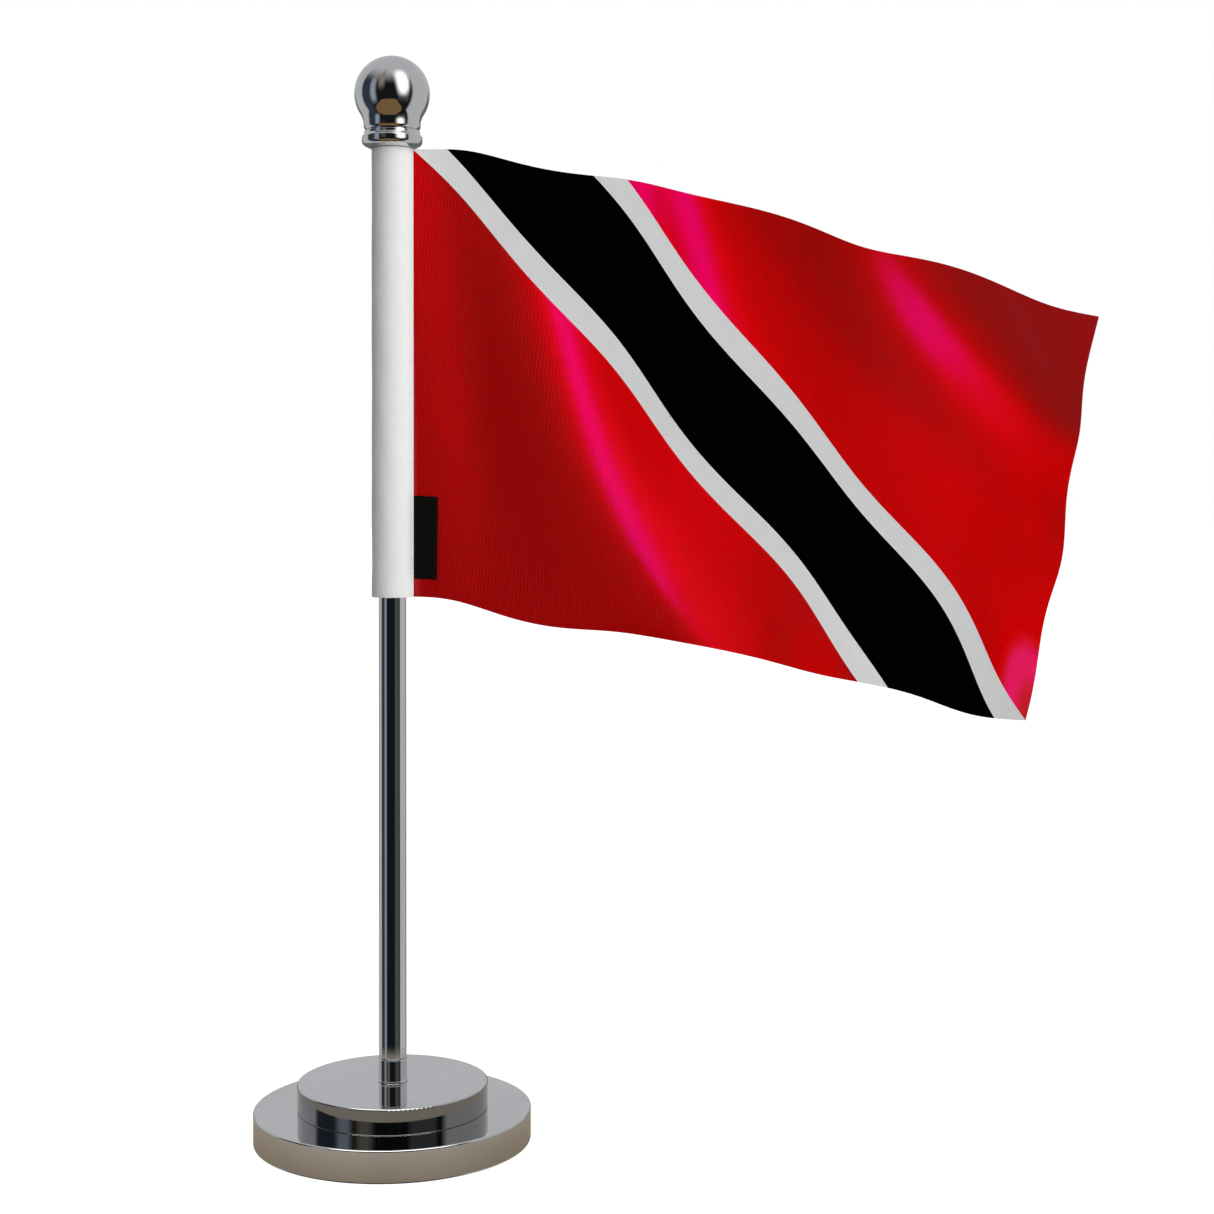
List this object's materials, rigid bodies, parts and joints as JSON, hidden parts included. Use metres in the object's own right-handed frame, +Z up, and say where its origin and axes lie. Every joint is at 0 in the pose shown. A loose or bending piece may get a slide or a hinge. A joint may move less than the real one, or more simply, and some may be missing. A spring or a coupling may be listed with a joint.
{
  "type": "desk flag stand",
  "caption": "Desk flag stand: a stepped round base, a thin pole with a ball finial, and a waving cloth flag with a diagonal band, sewn to a sleeve that turns on the pole.",
  "frame": {"origin": "centre of the base's underside, on the table, on the pole's axis", "axes": "+Z up along the pole, +X from the pole along the flag, -Y towards the viewer of the flag's front"},
  "size_m": [0.2673, 0.0864, 0.3383],
  "materials": {
    "chrome": "bright polished chrome plate with faint wiping marks",
    "steel": "zinc-plated fastener steel",
    "brass": "turned brass",
    "foam": "matt black foam rubber",
    "nylon": "natural nylon",
    "sleeve_cloth": "white woven polyester, slightly glossy",
    "flag_cloth": "printed satin polyester: red with a diagonal black band edged white",
    "white_thread": "white polyester sewing thread",
    "label_ribbon": "black woven ribbon, plain",
    "dark_thread": "black polyester sewing thread"
  },
  "bodies": {
    "stand": {"foot_pad": "foam", "base_disc": "chrome", "step_disc": "chrome", "base_bolt": "steel", "base_spring_washer": "steel", "base_flat_washer": "steel", "pole_collar": "chrome", "pole_foot_bush": "brass", "pole_tube": "chrome", "pole_top_bush": "brass"},
    "flag": {"flag_sleeve": "sleeve_cloth", "sleeve_cap": "sleeve_cloth", "flag_panel": "flag_cloth", "hoist_stitching": "white_thread", "sewn_label": "label_ribbon", "label_stitching": "dark_thread"},
    "spacer": {"finial_washer": "nylon"},
    "finial": {"finial_collar": "chrome", "finial_ball": "chrome", "finial_stud": "steel"}
  },
  "joints": [
    {"name": "flag_swivel", "type": "hinge", "parent": "stand", "child": "flag", "pos_m": [0, 0, 0.24], "axis": [0, 0, 1], "continuous": true},
    {"name": "finial_lift", "type": "slide", "parent": "stand", "child": "spacer", "axis": [0, 0, 1], "range_m": [0, 0.0101]},
    {"name": "finial_turn", "type": "hinge", "parent": "spacer", "child": "finial", "pos_m": [0, 0, 0.31], "axis": [0, 0, 1], "range_deg": [0, 4500]}
  ],
  "couplings": [
    {"joint": "finial_lift", "follows": "finial_turn", "m_per_rad": 0.00012732}
  ]
}
